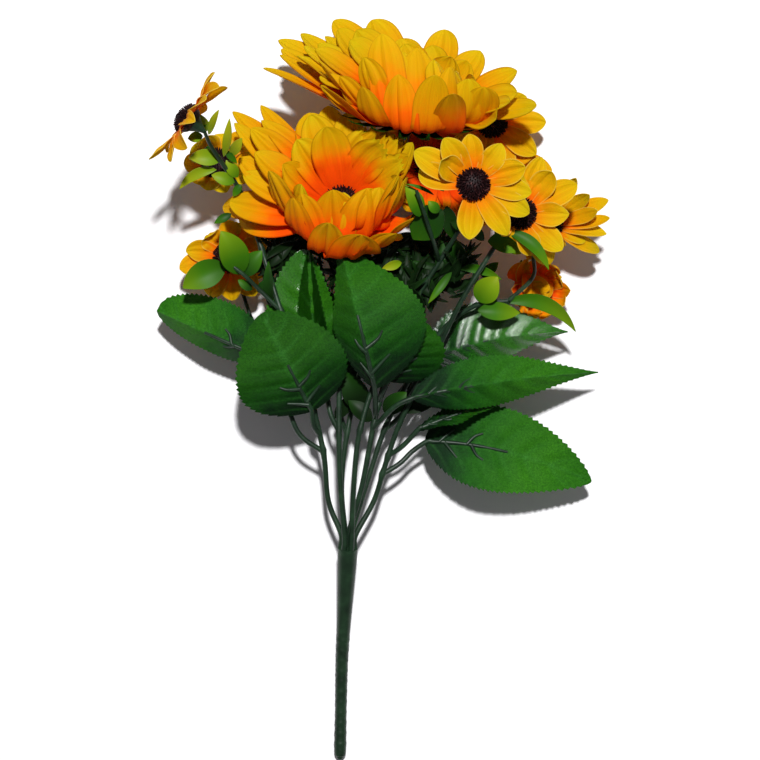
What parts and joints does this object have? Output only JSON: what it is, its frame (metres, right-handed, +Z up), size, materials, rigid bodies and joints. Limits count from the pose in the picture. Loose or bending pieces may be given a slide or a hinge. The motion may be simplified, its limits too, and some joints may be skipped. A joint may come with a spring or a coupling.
{
  "type": "artificial sunflower bush",
  "caption": "Artificial sunflower bush lying down: fabric blooms, daisies and leaves on moulded stems that fork from one handle.",
  "frame": {"origin": "bottom centre of the bounding box, on the surface that the bush lies on", "axes": "+Y from the handle's tip to the top bloom, +Z up from the surface, +X to the right seen from above"},
  "size_m": [0.2167, 0.3636, 0.1036],
  "materials": {
    "stem_plastic": "dark green moulded polyethylene, low sheen",
    "leaf_cloth": "green printed and embossed polyester cloth",
    "petal_cloth": "yellow polyester cloth dyed orange at the base",
    "flower_disc": "dark brown bristled flower centre",
    "foliage": "sprigs of small light green leaves"
  },
  "bodies": {
    "root": {"main_stem": "stem_plastic", "stem_1": "stem_plastic", "stem_2": "stem_plastic", "stem_3": "stem_plastic", "stem_4": "stem_plastic", "stem_5": "stem_plastic", "stem_6": "stem_plastic", "stem_7": "stem_plastic", "shoot_centre": "stem_plastic", "shoot_right": "stem_plastic", "shoot_far_right": "stem_plastic", "shoot_back": "stem_plastic", "shoot_far_left": "stem_plastic", "shoot_low_left": "stem_plastic", "shoot_mid_left": "stem_plastic", "shoot_low_right": "stem_plastic", "shoot_leafy_left": "stem_plastic", "shoot_leafy_centre": "stem_plastic", "leaf_1": "leaf_cloth", "leaf_2": "leaf_cloth", "leaf_3": "leaf_cloth", "leaf_4": "leaf_cloth", "leaf_5": "leaf_cloth", "leaf_6": "leaf_cloth", "leaf_7": "leaf_cloth", "leaf_8": "leaf_cloth", "leaf_9": "leaf_cloth", "leaf_10": "leaf_cloth", "leaf_11": "leaf_cloth", "leaf_12": "leaf_cloth", "bloom_top": "petal_cloth", "bloom_left": "petal_cloth", "bloom_back": "petal_cloth", "daisy_centre": "petal_cloth", "daisy_right": "petal_cloth", "daisy_far_right": "petal_cloth", "daisy_back": "petal_cloth", "daisy_far_left": "petal_cloth", "daisy_low_left": "petal_cloth", "daisy_mid_left": "petal_cloth", "daisy_low_right": "petal_cloth", "foliage_far_left": "foliage", "foliage_low_left": "foliage", "foliage_centre": "foliage", "foliage_daisy": "foliage", "foliage_low_right": "foliage", "foliage_under_daisy": "foliage"}
  },
  "joints": []
}
